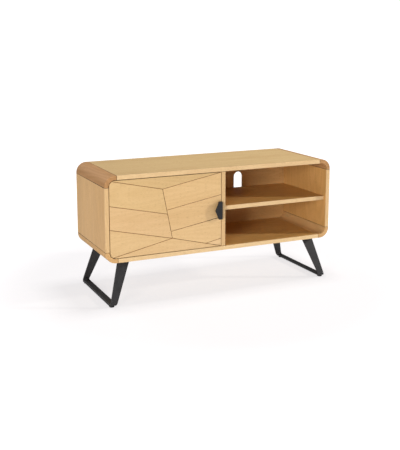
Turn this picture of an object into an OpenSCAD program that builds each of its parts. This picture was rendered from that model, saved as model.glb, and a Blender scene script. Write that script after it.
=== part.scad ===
// Low media cabinet: one inset door, two open bays, two bent steel leg frames.
// Row frame: +X to the right seen from the front, +Y to the back, +Z up, floor at Z = 0.

/* [Case] */
// Overall width of the case
case_w = 1100; // [900:5:1500]
// Overall depth of the case
case_d = 400; // [320:5:520]
// Overall height of the case, legs left out
case_h = 372; // [300:1:480]
// Thickness of the case panels, the divider and the shelf
panel_t = 18; // [15:0.5:24]
// Outer radius of the four rounded corners
corner_r = 46; // [36:0.5:60]
// Straight run of a corner post past its arc, along the top or bottom
post_run_top = 8; // [7:0.5:20]
// Straight run of a corner post past its arc, along the side
post_run_side = 2; // [1:0.5:20]
// Thickness of the solid lipping on the front edges
lipping_t = 3; // [2:0.5:6]

/* [Bays] */
// Clear width of the bay behind the door
door_bay_w = 520; // [380:5:620]
// Clear height of the lower open bay
lower_bay_h = 159; // [120:1:190]
// Distance from the front of the case to the front of the shelf
shelf_setback = 18; // [5:1:60]
// Play at each end of the shelf
shelf_play = 0.5; // [0.3:0.1:1.5]
// Thickness of the back panel
back_t = 9; // [6:0.5:12]
// Distance from the back panel to the rear edge of the case
back_inset = 9; // [6:1:30]
// Depth of the groove that holds the back panel
groove_in = 5; // [3:0.5:7]
// Play of the back panel in its groove
back_play = 0.3; // [0.2:0.1:1]
// Width of the cable slot in the back panel
slot_w = 47; // [30:1:70]
// Height of the cable slot, centred on the shelf
slot_h = 172; // [130:1:190]

/* [Door] */
// Thickness of the door
door_t = 18; // [15:0.5:22]
// Gap between the door and the case all round
door_gap = 3; // [2.5:0.25:5]
// Width of the grooves on the door's face
line_w = 2.4; // [1.5:0.1:4]
// Depth of the grooves on the door's face
line_d = 2.5; // [1:0.1:4]
// Upper knot of the groove pattern, from the door's left edge
knot_a_x = 237; // [180:1:280]
// Upper knot of the groove pattern, below the door's top edge
knot_a_drop = 52; // [30:1:80]
// Lower knot of the groove pattern, from the door's left edge
knot_b_x = 281; // [200:1:300]
// Lower knot of the groove pattern, above the door's bottom edge
knot_b_rise = 59; // [30:1:80]

/* [Handle] */
// Height of the handle
handle_h = 78; // [60:1:110]
// Width of the handle at its point
handle_w = 35; // [28:1:50]
// Length of the handle's short top and bottom edges
handle_edge = 17; // [12:1:24]
// How far the handle stands proud of the door
handle_stand = 17; // [14:0.5:25]
// Thickness of the handle's face plate
handle_face_t = 5; // [3:0.5:6]
// Width of the web that joins the face plate to the door
handle_web = 14; // [12:0.5:16]
// Height of the handle's middle above the door's bottom edge
handle_z = 162; // [120:1:200]
// Distance between the two handle screws
handle_pitch = 50; // [40:1:56]

/* [Legs] */
// Height of the case's underside above the floor
leg_h = 194; // [150:1:260]
// Thickness of the flat bar of a leg frame
bar_t = 8; // [6:0.5:12]
// Inner radius of the bends
bend_r = 5; // [3:0.5:12]
// Width of an upright at its top
upright_w = 54; // [40:1:70]
// Width of an upright at the floor
foot_w = 27; // [25:1:40]
// Distance from a corner post's seam to an upright's outer edge, at the top
upright_in = 13; // [10:1:50]
// Distance from the case's side to an upright's outer edge, at the floor
foot_x = 14; // [4:1:50]
// Distance from the case's front to an upright's outer face, at the top
upright_y = 40; // [25:1:70]
// How far an upright's outer face stands out of the case's front, at the floor
foot_reach = 5.5; // [0:0.5:10]
// Thickness of a mounting plate
plate_t = 3; // [2:0.5:5]
// Width of a mounting plate, across the case
plate_w = 70; // [60:1:90]
// Length of a mounting plate, along the case's depth
plate_l = 62; // [54:1:90]

/* [Levelling feet] */
// Radius of a foot's pad
pad_r = 11; // [9:0.5:12]
// Thickness of a foot's pad
pad_t = 5.5; // [4:0.5:10]
// Gap between a pad and the runner above it
pad_gap = 0.5; // [0.4:0.1:2]
// How far a foot screws out
foot_travel = 6; // [4:0.5:8]
// Radius of a foot's stud
stud_r = 3; // [2.5:0.5:4]

/* [Fasteners and fittings] */
// Radius of the dowels
dowel_r = 4; // [3:0.5:5]
// How deep a dowel sits in each piece at a corner seam
dowel_in = 16; // [12:1:18]
// Number of dowels along each corner seam
dowel_n = 4; // [3:1:6]
// Radius of the door's pivot pins
pivot_r = 3; // [2.5:0.5:3.5]
// Outer radius of the pivot bushes
bush_r = 5; // [4.5:0.5:6]
// Length of the pivot bushes
bush_l = 10; // [8:0.5:11]
// Radius of the shelf pins
shelf_pin_r = 2.5; // [2:0.5:4]
// Radius of the wood screws
screw_r = 1.75; // [1.5:0.25:2.5]
// Radius of the leg screws and of the handle screws' clearance
bolt_r = 3; // [2.5:0.5:4]

/* [Hidden] */

$fn = 48;
OAK = "#D9B47F";
EDGE_OAK = "#EBCB9B";
POST_OAK = "#B98E62";
INNER_OAK = "#A8763F";
BEECH = "#D8C09A";
BLACK_STEEL = "#3A3838";
ZINC = "#B8BABD";
BLACK_PLASTIC = "#202022";
GREY_PLASTIC = "#8A8A88";

// Play between a dowel, screw or pin and its hole, on the radius
hole_play = 0.05;
// How far a cutting shape runs past the face that it cuts
over = 1;

// Corner posts and the room inside the case
post_w = corner_r + post_run_top;
post_h = corner_r + post_run_side;
inner_r = corner_r - panel_t;
back_y = case_d - back_inset - back_t;
span_w = case_w - 2 * post_w;
side_h = case_h - 2 * post_h;
divider_x = panel_t + door_bay_w;
bay_x = divider_x + panel_t;
bay_w = case_w - panel_t - bay_x;
shelf_z = panel_t + lower_bay_h;
slot_x = bay_x + bay_w / 2;
slot_z = shelf_z + panel_t / 2;

// Dowels
dowel_first = 40;
dowel_step = (back_y - 2 * dowel_first) / (dowel_n - 1);
divider_dowel_n = 3;
divider_dowel_in = panel_t * 2 / 3;
divider_dowel_up = 20;
divider_dowel_step = (back_y - 2 * dowel_first) / (divider_dowel_n - 1);

// Shelf pins: half of each sits in its panel, half carries the shelf
shelf_pin_in = 8;
shelf_pin_out = 8;
shelf_pin_y = [60, back_y - 60];

// Screws through the back panel
back_screw_l = 30;
back_screw_head_r = 3.5;
back_screw_head_t = 2.5;
back_screw_n = 3;
back_screw_first = 60;
back_screw_step = (case_h - 2 * back_screw_first) / (back_screw_n - 1);

// Door outline and the axis of its pivots, on the centre of the rounded corners
door_x = panel_t + door_gap;
door_z = panel_t + door_gap;
door_w = door_bay_w - 2 * door_gap;
door_h = case_h - 2 * door_z;
door_r = inner_r - door_gap;
pivot_x = corner_r;
pivot_y = door_t / 2;
pin_in_door = 25;
pin_in_bush = 8;

// The grooves meet at two knots joined by a spine; the rest run to the door's edges.
knot_a = [knot_a_x, door_h - knot_a_drop];
knot_b = [knot_b_x, knot_b_rise];
left_high = [0, door_h - 106];
left_low = [0, 123];
right_high = [door_w, door_h - 99];
right_mid = [door_w, 130];
right_low = [door_w, 34];
left_share = 0.505;
right_high_share = 0.425;
right_mid_share = 0.86;
right_low_share = 0.68;
function along(a, b, t) = a + t * (b - a);
LINES = [
    [knot_a, [0, door_h]],
    [knot_a, [door_w, door_h]],
    [knot_b, [0, 0]],
    [knot_b, [door_w, 0]],
    [along(knot_a, knot_b, left_share), left_high],
    [knot_b, left_low],
    [along(knot_a, knot_b, right_high_share), right_high],
    [along(knot_a, knot_b, right_mid_share), right_mid],
    [along(knot_b, [door_w, 0], right_low_share), right_low]
];
line_run_on = 12;

// Handle
handle_x = door_x + door_w;
handle_mid = door_z + handle_z;
handle_screw_r = 2;
handle_screw_in = 10;
handle_screw_x = handle_x - handle_web / 2;

// Magnetic catch on the divider, and its strike plate on the door
catch_w = 14;
catch_l = 32;
catch_h = 40;
catch_drop = 52;
catch_gap = 0.4;
strike_t = 1.5;
strike_w = 13;
strike_h = 30;
strike_x = divider_x - catch_w / 2 - door_gap;
strike_screw_in = 12;
strike_head_r = 3;
catch_y = door_t + strike_t + catch_gap;
catch_z = case_h - catch_drop - catch_h / 2;
magnet_w = 6;
magnet_l = 8;
magnet_h = 30;
catch_screw_back = 22;
catch_screw_y = catch_y + catch_screw_back;
catch_screw_pitch = 24;
catch_screw_in = 10;
pan_head_t = 2.2;

// Leg frames: an outline in Y and Z, cut to the slanting edges seen from the front
upright_x = post_w + upright_in;
lean = atan((upright_y + foot_reach) / leg_h);
outer_r = bend_r + bar_t;
runner_z = -leg_h + pad_t + pad_gap;
bend_z = runner_z + outer_r;
bend_y = -foot_reach + (bend_z + leg_h) * tan(lean) + outer_r / cos(lean);
leg_reach = max(0, outer_r - bend_y);
plate_lap_x = 6;
plate_lap_y = 2;
plate_x = upright_x - plate_lap_x;
plate_y = upright_y - plate_lap_y;

// Leg screws: the first row stands clear of the dowels across and of the upright along
insert_r = 4.5;
insert_l = 13;
insert_wall = 3;
leg_screw_l = 14;
leg_screw_head_r = 5.4;
leg_screw_inset = 10;
leg_screw_back = 22;
leg_screw_x = [post_w + dowel_in + insert_wall + insert_r, plate_x + plate_w - leg_screw_inset];
leg_screw_y = [plate_y + leg_screw_back, plate_y + plate_l - leg_screw_inset];

// The frame: the origin is on the floor, under the middle of the whole object's depth, which
// runs from the handle's face to the back of the leg frames.
front_y = (handle_stand - leg_reach - case_d) / 2;

// Levelling feet
foot_past_bend = 7;
foot_y = bend_y + foot_past_bend;
foot_in = (foot_x + foot_w / 2) + (upright_x - foot_x) * (pad_t + pad_gap) / leg_h;
nut_r = 5.75;
nut_h = 5;
stud_in_pad = 3;
stud_up = pad_gap + bar_t + nut_h + foot_travel;
stud_play = 0.3;

// Puts what is drawn from the case's lower front left corner into the row frame.
module on_case() {
    translate([-case_w / 2, front_y, leg_h]) children();
}

// Repeats a shape from the left on the right, as a mirror image.
module on_right() {
    translate([case_w, 0, 0]) mirror([1, 0, 0]) children();
}

// Repeats a shape from the front at the back, as a mirror image.
module at_back() {
    translate([0, case_d, 0]) mirror([0, 1, 0]) children();
}

// Repeats a shape from the bottom of the case at its top, as a mirror image.
module at_top() {
    translate([0, 0, case_h]) mirror([0, 0, 1]) children();
}

// Extrudes an outline in X and Z from Y = from to Y = to.
module through_y(from, to) {
    translate([0, to, 0]) rotate([90, 0, 0]) linear_extrude(to - from) children();
}

// Extrudes an outline in Y and Z from X = from to X = to.
module through_x(from, to) {
    translate([from, 0, 0]) rotate([90, 0, 90]) linear_extrude(to - from) children();
}

// A cylinder along X, from x to x + l.
module rod_x(x, y, z, l, r) {
    translate([x, y, z]) rotate([0, 90, 0]) cylinder(h = l, r = r);
}

// A cylinder along Y, from y to y + l.
module rod_y(x, y, z, l, r) {
    translate([x, y + l, z]) rotate([90, 0, 0]) cylinder(h = l, r = r);
}

// A cylinder along Z, from z to z + l.
module rod_z(x, y, z, l, r) {
    translate([x, y, z]) cylinder(h = l, r = r);
}

// A rectangle with round corners, exact arcs.
module round_rect(x, z, w, h, r) {
    translate([x + r, z]) square([w - 2 * r, h]);
    translate([x, z + r]) square([w, h - 2 * r]);
    for (cx = [x + r, x + w - r], cz = [z + r, z + h - r]) translate([cx, cz]) circle(r);
}

// The outline inside the case walls, let out by a distance.
module inside_outline(out) {
    edge = panel_t - out;
    round_rect(edge, edge, case_w - 2 * edge, case_h - 2 * edge, inner_r + out);
}

// The groove that holds the back panel in the walls.
module back_groove() {
    through_y(back_y, back_y + back_t) inside_outline(groove_in);
}

// Places on the lower left seams: horizontal dowels to the bottom, upright ones to the side.
module corner_dowels_at(r, l_post, l_panel) {
    for (i = [0:dowel_n - 1]) {
        y = dowel_first + i * dowel_step;
        rod_x(post_w - l_post, y, panel_t / 2, l_post + l_panel, r);
        rod_z(panel_t / 2, y, post_h - l_post, l_post + l_panel, r);
    }
}

// The same on all four corners.
module all_corner_dowels(r, l) {
    corner_dowels_at(r, l, l);
    on_right() corner_dowels_at(r, l, l);
    at_top() corner_dowels_at(r, l, l);
    at_top() on_right() corner_dowels_at(r, l, l);
}

module corner_holes() {
    all_corner_dowels(dowel_r + hole_play, dowel_in);
}

// Dowels between the divider and the panels under and over it.
module divider_dowels_at(r) {
    for (i = [0:divider_dowel_n - 1]) {
        y = dowel_first + i * divider_dowel_step;
        rod_z(divider_x + panel_t / 2, y, panel_t - divider_dowel_in,
              divider_dowel_in + divider_dowel_up, r);
    }
}

module all_divider_dowels(r) {
    divider_dowels_at(r);
    at_top() divider_dowels_at(r);
}

// The leg screw places of one corner, seen from below.
module leg_screw_places() {
    for (x = leg_screw_x, y = leg_screw_y) translate([x, y, 0]) children();
}

// One corner's shape on all four corners of the underside.
module four_corners() {
    children();
    at_back() children();
    on_right() children();
    on_right() at_back() children();
}

// The horizontal panel of the case, at the bottom.
module flat_panel() {
    difference() {
        translate([post_w, lipping_t, 0]) cube([span_w, case_d - lipping_t, panel_t]);
        corner_holes();
        back_groove();
        divider_dowels_at(dowel_r + hole_play);
    }
}

module top_panel() {
    color(OAK) on_case() at_top() flat_panel();
}

module bottom_panel() {
    color(OAK) on_case() difference() {
        flat_panel();
        four_corners() leg_screw_places() translate([0, 0, -over])
            cylinder(h = insert_l + over, r = insert_r + hole_play);
    }
}

// The upright side panel, at the left.
module side_panel() {
    difference() {
        translate([0, lipping_t, post_h]) cube([panel_t, case_d - lipping_t, side_h]);
        corner_holes();
        back_groove();
    }
}

// Holes for the shelf pins, in the divider and in the right side panel.
module shelf_pins_at(r, inward, outward) {
    for (y = shelf_pin_y) {
        rod_x(bay_x - inward, y, shelf_z - shelf_pin_r, inward + outward, r);
        rod_x(bay_x + bay_w - outward, y, shelf_z - shelf_pin_r, inward + outward, r);
    }
}

module left_side_panel() {
    color(OAK) on_case() side_panel();
}

module right_side_panel() {
    color(OAK) on_case() difference() {
        on_right() side_panel();
        shelf_pins_at(shelf_pin_r + hole_play, shelf_pin_in, shelf_pin_out);
    }
}

// The quarter-round outline of a corner post, at the lower left.
module post_outline() {
    difference() {
        intersection() {
            translate([corner_r, corner_r]) circle(corner_r, $fn = 96);
            square(corner_r);
        }
        translate([corner_r, corner_r]) circle(inner_r, $fn = 96);
    }
    translate([corner_r, 0]) square([post_run_top, panel_t]);
    translate([0, corner_r]) square([panel_t, post_run_side]);
}

// A corner post: solid oak, its grain along the depth of the case.
module corner_post() {
    difference() {
        through_y(0, case_d) post_outline();
        corner_holes();
        back_groove();
    }
}

// The pocket for a pivot bush in a left-hand post.
module bush_pocket() {
    rod_z(pivot_x, pivot_y, panel_t - bush_l, bush_l + over, bush_r + hole_play);
}

module bottom_left_post() {
    color(POST_OAK) on_case() difference() {
        corner_post();
        bush_pocket();
    }
}

module top_left_post() {
    color(POST_OAK) on_case() at_top() difference() {
        corner_post();
        bush_pocket();
    }
}

module bottom_right_post() {
    color(POST_OAK) on_case() on_right() corner_post();
}

module top_right_post() {
    color(POST_OAK) on_case() at_top() on_right() corner_post();
}

module centre_divider() {
    color(OAK) on_case() difference() {
        translate([divider_x, lipping_t, panel_t])
            cube([panel_t, back_y - lipping_t, case_h - 2 * panel_t]);
        all_divider_dowels(dowel_r + hole_play);
        shelf_pins_at(shelf_pin_r + hole_play, shelf_pin_in, shelf_pin_out);
        back_screws_at(screw_r + hole_play);
        catch_screws_at(screw_r + hole_play);
    }
}

module shelf() {
    color(OAK) on_case()
        translate([bay_x + shelf_play, shelf_setback + lipping_t, shelf_z])
            cube([bay_w - 2 * shelf_play, back_y - shelf_setback - lipping_t, panel_t]);
}

// The upright slot for cables, rounded at both ends.
module slot_outline() {
    end_r = slot_w / 2;
    rise = slot_h / 2 - end_r;
    translate([slot_x - end_r, slot_z - rise]) square([slot_w, 2 * rise]);
    for (s = [-1, 1]) translate([slot_x, slot_z + s * rise]) circle(end_r);
}

// Screws through the back panel into the divider's rear edge
module back_screws_at(r) {
    for (i = [0:back_screw_n - 1])
        rod_y(divider_x + panel_t / 2, back_y + back_t - back_screw_l,
              back_screw_first + i * back_screw_step, back_screw_l, r);
}

module back_screw_heads(play) {
    for (i = [0:back_screw_n - 1])
        translate([divider_x + panel_t / 2, back_y + back_t, back_screw_first + i * back_screw_step])
            rotate([90, 0, 0])
                cylinder(h = back_screw_head_t, r1 = back_screw_head_r + play, r2 = screw_r + play);
}

module back_panel() {
    color(INNER_OAK) on_case() difference() {
        through_y(back_y, back_y + back_t) inside_outline(groove_in - back_play);
        through_y(back_y - over, back_y + back_t + over) slot_outline();
        back_screws_at(screw_r + hole_play);
        back_screw_heads(hole_play);
    }
}

module back_panel_screws() {
    color(ZINC) on_case() {
        back_screws_at(screw_r);
        back_screw_heads(0);
    }
}

module bottom_lipping() {
    color(EDGE_OAK) on_case() translate([post_w, 0, 0]) cube([span_w, lipping_t, panel_t]);
}

module top_lipping() {
    color(EDGE_OAK) on_case() at_top() translate([post_w, 0, 0]) cube([span_w, lipping_t, panel_t]);
}

module left_lipping() {
    color(EDGE_OAK) on_case() translate([0, 0, post_h]) cube([panel_t, lipping_t, side_h]);
}

module right_lipping() {
    color(EDGE_OAK) on_case() on_right() translate([0, 0, post_h]) cube([panel_t, lipping_t, side_h]);
}

module divider_lipping() {
    color(EDGE_OAK) on_case()
        translate([divider_x, 0, panel_t]) cube([panel_t, lipping_t, case_h - 2 * panel_t]);
}

module shelf_lipping() {
    color(EDGE_OAK) on_case() translate([bay_x + shelf_play, shelf_setback, shelf_z])
        cube([bay_w - 2 * shelf_play, lipping_t, panel_t]);
}

module corner_dowels() {
    color(BEECH) on_case() all_corner_dowels(dowel_r, dowel_in);
}

module divider_dowels() {
    color(BEECH) on_case() all_divider_dowels(dowel_r);
}

module shelf_pins() {
    color(ZINC) on_case() shelf_pins_at(shelf_pin_r, shelf_pin_in, shelf_pin_out);
}

// A pivot bush, with its bore for the pin.
module pivot_bush() {
    difference() {
        rod_z(pivot_x, pivot_y, panel_t - bush_l, bush_l, bush_r);
        rod_z(pivot_x, pivot_y, panel_t - bush_l - over, bush_l + 2 * over, pivot_r + hole_play);
    }
}

module lower_pivot_bush() {
    color(GREY_PLASTIC) on_case() pivot_bush();
}

module upper_pivot_bush() {
    color(GREY_PLASTIC) on_case() at_top() pivot_bush();
}

// Magnetic catch
module catch_screws_at(r) {
    for (s = [-1, 1])
        rod_x(divider_x - catch_w, catch_screw_y, catch_z + s * catch_screw_pitch / 2,
              catch_w + catch_screw_in, r);
}

module magnet_block(play) {
    translate([divider_x - (catch_w + magnet_w) / 2 - play, catch_y, catch_z - magnet_h / 2 - play])
        cube([magnet_w + 2 * play, magnet_l, magnet_h + 2 * play]);
}

module catch_housing() {
    color(BLACK_PLASTIC) on_case() difference() {
        translate([divider_x - catch_w, catch_y, catch_z - catch_h / 2]) cube([catch_w, catch_l, catch_h]);
        magnet_block(hole_play);
        catch_screws_at(screw_r + hole_play);
    }
}

module catch_magnet() {
    color(ZINC) on_case() magnet_block(0);
}

module catch_screws() {
    color(ZINC) on_case() {
        catch_screws_at(screw_r);
        for (s = [-1, 1])
            rod_x(divider_x - catch_w - pan_head_t, catch_screw_y, catch_z + s * catch_screw_pitch / 2,
                  pan_head_t, screw_r * 2);
    }
}

// The side view of a leg frame: a flat bar bent to a splayed U, open at the top.
module bent_outline(r, top) {
    shift = outer_r - r;
    face_y = upright_y + shift / cos(lean);
    face = [bend_y - r * cos(lean), bend_z + r * sin(lean)];
    sole = [bend_y, bend_z - r];
    polygon([
        [face_y + top * tan(lean), top], face, sole,
        [case_d - sole[0], sole[1]], [case_d - face[0], face[1]],
        [case_d - face_y - top * tan(lean), top]
    ]);
    translate([bend_y, bend_z]) circle(r);
    translate([case_d - bend_y, bend_z]) circle(r);
}

module frame_profile() {
    difference() {
        bent_outline(outer_r, 0);
        bent_outline(bend_r, over);
    }
}

// The front view of an upright: its edges slant in towards the floor.
module frame_front() {
    polygon([
        [upright_x, 0], [upright_x + upright_w, 0],
        [foot_x + foot_w, -leg_h], [foot_x, -leg_h]
    ]);
}

// A left leg frame, cut off level under the mounting plates
module leg_frame() {
    clear = leg_reach + over;
    intersection() {
        through_x(0, upright_x + upright_w) frame_profile();
        through_y(-clear, case_d + clear) frame_front();
        translate([0, -clear, -leg_h]) cube([upright_x + upright_w, case_d + 2 * clear, leg_h - plate_t]);
    }
}

// The room that the runner takes, between the two bends
module runner_room() {
    translate([0, bend_y, -leg_h])
        cube([upright_x + upright_w, case_d - 2 * bend_y, runner_z + bar_t + leg_h]);
}

// An upright ends in its bend, where the runner is welded on.
module front_leg() {
    difference() {
        leg_frame();
        runner_room();
        translate([0, case_d / 2, -leg_h]) cube([upright_x + upright_w, case_d, leg_h]);
    }
}

// Holes in the runner for the studs of the levelling feet
module runner() {
    difference() {
        intersection() {
            leg_frame();
            runner_room();
        }
        for (y = [foot_y, case_d - foot_y])
            rod_z(foot_in, y, runner_z - over, bar_t + 2 * over, stud_r + stud_play);
    }
}

module mounting_plate() {
    difference() {
        translate([plate_x, plate_y, -plate_t]) cube([plate_w, plate_l, plate_t]);
        leg_screw_places() translate([0, 0, -plate_t - over])
            cylinder(h = plate_t + 2 * over, r = bolt_r + stud_play);
    }
}

module left_front_leg() {
    color(BLACK_STEEL) on_case() front_leg();
}

module left_back_leg() {
    color(BLACK_STEEL) on_case() at_back() front_leg();
}

module left_runner() {
    color(BLACK_STEEL) on_case() runner();
}

module left_front_plate() {
    color(BLACK_STEEL) on_case() mounting_plate();
}

module left_back_plate() {
    color(BLACK_STEEL) on_case() at_back() mounting_plate();
}

module right_front_leg() {
    color(BLACK_STEEL) on_case() on_right() front_leg();
}

module right_back_leg() {
    color(BLACK_STEEL) on_case() on_right() at_back() front_leg();
}

module right_runner() {
    color(BLACK_STEEL) on_case() on_right() runner();
}

module right_front_plate() {
    color(BLACK_STEEL) on_case() on_right() mounting_plate();
}

module right_back_plate() {
    color(BLACK_STEEL) on_case() on_right() at_back() mounting_plate();
}

// Threaded inserts in the bottom panel
module leg_inserts() {
    color(ZINC) on_case() four_corners() leg_screw_places() difference() {
        cylinder(h = insert_l, r = insert_r);
        translate([0, 0, -over]) cylinder(h = insert_l + 2 * over, r = bolt_r + hole_play);
    }
}

module leg_screws() {
    color(ZINC) on_case() four_corners() leg_screw_places() {
        translate([0, 0, -plate_t]) cylinder(h = leg_screw_l, r = bolt_r);
        translate([0, 0, -plate_t - bolt_r]) cylinder(h = bolt_r, r = leg_screw_head_r);
    }
}

// Weld nuts on the runners
module foot_nuts() {
    color(BLACK_STEEL) on_case() four_corners() difference() {
        translate([foot_in, foot_y, runner_z + bar_t]) cylinder(h = nut_h, r = nut_r, $fn = 6);
        rod_z(foot_in, foot_y, runner_z + bar_t - over, nut_h + 2 * over, stud_r + hole_play);
    }
}

module foot_pad() {
    difference() {
        rod_z(foot_in, foot_y, -leg_h, pad_t, pad_r);
        rod_z(foot_in, foot_y, -leg_h + pad_t - stud_in_pad, stud_in_pad + over, stud_r + hole_play);
    }
}

module foot_stud() {
    rod_z(foot_in, foot_y, -leg_h + pad_t - stud_in_pad, stud_in_pad + stud_up, stud_r);
}

module front_left_pad() {
    color(BLACK_PLASTIC) on_case() foot_pad();
}

module front_left_stud() {
    color(ZINC) on_case() foot_stud();
}

module back_left_pad() {
    color(BLACK_PLASTIC) on_case() at_back() foot_pad();
}

module back_left_stud() {
    color(ZINC) on_case() at_back() foot_stud();
}

module front_right_pad() {
    color(BLACK_PLASTIC) on_case() on_right() foot_pad();
}

module front_right_stud() {
    color(ZINC) on_case() on_right() foot_stud();
}

module back_right_pad() {
    color(BLACK_PLASTIC) on_case() on_right() at_back() foot_pad();
}

module back_right_stud() {
    color(ZINC) on_case() on_right() at_back() foot_stud();
}

// Door: its left corners follow the case's corners, its right corners are square.
module door_outline() {
    intersection() {
        round_rect(door_x, door_z, door_w + door_r + over, door_h, door_r);
        translate([door_x, door_z]) square([door_w, door_h]);
    }
}

// The outline of one groove on the door's face. One that ends on an edge runs on past it.
module face_line(a, b, run_on) {
    translate([door_x + a[0], door_z + a[1]])
        rotate(atan2(b[1] - a[1], b[0] - a[0]))
            translate([-line_w / 2, -line_w / 2]) square([norm(b - a) + line_w + run_on, line_w]);
}

module pivot_pin(play) {
    rod_z(pivot_x, pivot_y, panel_t - pin_in_bush, pin_in_bush + door_gap + pin_in_door, pivot_r + play);
}

module handle_screw_places() {
    for (s = [-1, 1]) translate([handle_screw_x, 0, handle_mid + s * handle_pitch / 2]) children();
}

module strike_screw_shape(play) {
    rod_y(strike_x, door_t - strike_screw_in, catch_z, strike_screw_in + strike_t, screw_r + play);
    translate([strike_x, door_t + strike_t, catch_z])
        rotate([90, 0, 0]) cylinder(h = strike_t, r1 = strike_head_r + play, r2 = screw_r + play);
}

module door_panel() {
    color(OAK) on_case() difference() {
        through_y(0, door_t) door_outline();
        through_y(-over, line_d) {
            face_line(knot_a, knot_b, 0);
            for (l = LINES) face_line(l[0], l[1], line_run_on);
        }
        pivot_pin(hole_play);
        at_top() pivot_pin(hole_play);
        handle_screw_places() rod_y(0, -over, 0, door_t + 2 * over, handle_screw_r + hole_play);
        strike_screw_shape(hole_play);
    }
}

// Handle: a half hexagon standing off the door on a web along its edge
module handle_outline() {
    polygon([
        [handle_x, handle_mid - handle_h / 2], [handle_x, handle_mid + handle_h / 2],
        [handle_x - handle_edge, handle_mid + handle_h / 2], [handle_x - handle_w, handle_mid],
        [handle_x - handle_edge, handle_mid - handle_h / 2]
    ]);
}

module door_handle() {
    color(BLACK_STEEL) on_case() difference() {
        through_y(-handle_stand, 0) handle_outline();
        translate([handle_x - handle_web - handle_w, -handle_stand + handle_face_t, handle_mid - handle_h])
            cube([handle_w, handle_stand - handle_face_t + over, 2 * handle_h]);
        handle_screw_places()
            rod_y(0, -handle_screw_in, 0, handle_screw_in + over, handle_screw_r + hole_play);
    }
}

module handle_screws() {
    color(ZINC) on_case() handle_screw_places() {
        rod_y(0, -handle_screw_in, 0, handle_screw_in + door_t, handle_screw_r);
        rod_y(0, door_t, 0, pan_head_t, handle_screw_r * 2);
    }
}

module lower_pivot_pin() {
    color(ZINC) on_case() pivot_pin(0);
}

module upper_pivot_pin() {
    color(ZINC) on_case() at_top() pivot_pin(0);
}

module strike_plate() {
    color(ZINC) on_case() difference() {
        translate([strike_x - strike_w / 2, door_t, catch_z - strike_h / 2])
            cube([strike_w, strike_t, strike_h]);
        strike_screw_shape(hole_play);
    }
}

module strike_screw() {
    color(ZINC) on_case() strike_screw_shape(0);
}

top_panel();
bottom_panel();
left_side_panel();
right_side_panel();
top_left_post();
top_right_post();
bottom_left_post();
bottom_right_post();
centre_divider();
shelf();
back_panel();
top_lipping();
bottom_lipping();
left_lipping();
right_lipping();
divider_lipping();
shelf_lipping();
corner_dowels();
divider_dowels();
shelf_pins();
back_panel_screws();
upper_pivot_bush();
lower_pivot_bush();
catch_housing();
catch_magnet();
catch_screws();
left_front_leg();
left_back_leg();
left_runner();
left_front_plate();
left_back_plate();
right_front_leg();
right_back_leg();
right_runner();
right_front_plate();
right_back_plate();
leg_inserts();
leg_screws();
foot_nuts();
door_panel();
door_handle();
handle_screws();
upper_pivot_pin();
lower_pivot_pin();
strike_plate();
strike_screw();
front_left_pad();
front_left_stud();
back_left_pad();
back_left_stud();
front_right_pad();
front_right_stud();
back_right_pad();
back_right_stud();
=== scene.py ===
# %% [markdown]
# # A low oak media cabinet on bent steel legs
#
# The cabinet is a case of oak-veneered board with four rounded corner posts, one door with grooves
# cut into its face, two open bays, and a leg frame of flat steel bar at each end. The joiner's sizes
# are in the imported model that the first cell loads. Here each piece gets the edges, fittings and
# finishes that a workshop gives it: wood first, then steel, then the small hardware.
#
# The first cell loads that model and keeps its box. Everything below is in metres, with the floor
# at Z = 0, the front towards -Y and +X to the right seen from the front.

import math
from functools import partial

import bmesh
import bpy
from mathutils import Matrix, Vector


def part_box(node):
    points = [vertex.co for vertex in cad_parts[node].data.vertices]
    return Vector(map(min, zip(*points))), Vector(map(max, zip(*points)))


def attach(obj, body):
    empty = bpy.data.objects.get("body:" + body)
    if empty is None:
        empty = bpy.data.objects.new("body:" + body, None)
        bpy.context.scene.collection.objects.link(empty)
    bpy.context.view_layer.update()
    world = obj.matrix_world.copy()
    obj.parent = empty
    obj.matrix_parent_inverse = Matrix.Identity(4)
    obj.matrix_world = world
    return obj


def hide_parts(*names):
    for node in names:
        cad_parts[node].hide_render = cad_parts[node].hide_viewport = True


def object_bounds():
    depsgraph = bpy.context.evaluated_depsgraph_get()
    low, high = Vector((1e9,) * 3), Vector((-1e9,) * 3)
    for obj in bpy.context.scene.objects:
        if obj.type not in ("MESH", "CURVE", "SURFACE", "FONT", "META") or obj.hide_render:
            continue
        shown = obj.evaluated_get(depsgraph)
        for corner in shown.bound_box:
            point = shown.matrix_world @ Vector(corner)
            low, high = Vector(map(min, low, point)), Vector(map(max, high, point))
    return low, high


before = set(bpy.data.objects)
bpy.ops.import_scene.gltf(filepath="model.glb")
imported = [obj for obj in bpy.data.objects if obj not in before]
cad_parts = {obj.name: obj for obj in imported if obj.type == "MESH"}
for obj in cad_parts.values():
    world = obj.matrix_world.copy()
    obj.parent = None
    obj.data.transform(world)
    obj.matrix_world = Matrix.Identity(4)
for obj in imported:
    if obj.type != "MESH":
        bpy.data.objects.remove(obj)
cad_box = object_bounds()
MM = 0.001
print("cabinet", [round(s / MM, 1) for s in cad_box[1] - cad_box[0]], "mm")

# %% [markdown]
# ## Small helpers for nodes and colours
#
# Finishes and repeated pieces are both made of nodes. One function adds a node to either kind of
# tree: it sets the node's properties and gives each input a value or a link. Four short ones stand
# for the nodes that come up most: a sum, a noise, a stretch of a value and a mix of two colours.
# Colours are written as the hex values that a paint chart gives, and one function turns them to the
# linear light values that a shader works in.

# %% Add a node, read a colour
def add(tree, kind, inputs=None, **settings):
    """A new node in the tree. Inputs are values, or the output sockets that feed them."""
    node = tree.nodes.new(kind)
    for name, value in settings.items():
        setattr(node, name, value)
    for name, value in (inputs or {}).items():
        if isinstance(value, bpy.types.NodeSocket):
            tree.links.new(value, node.inputs[name])
        else:
            node.inputs[name].default_value = value
    return node


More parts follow.
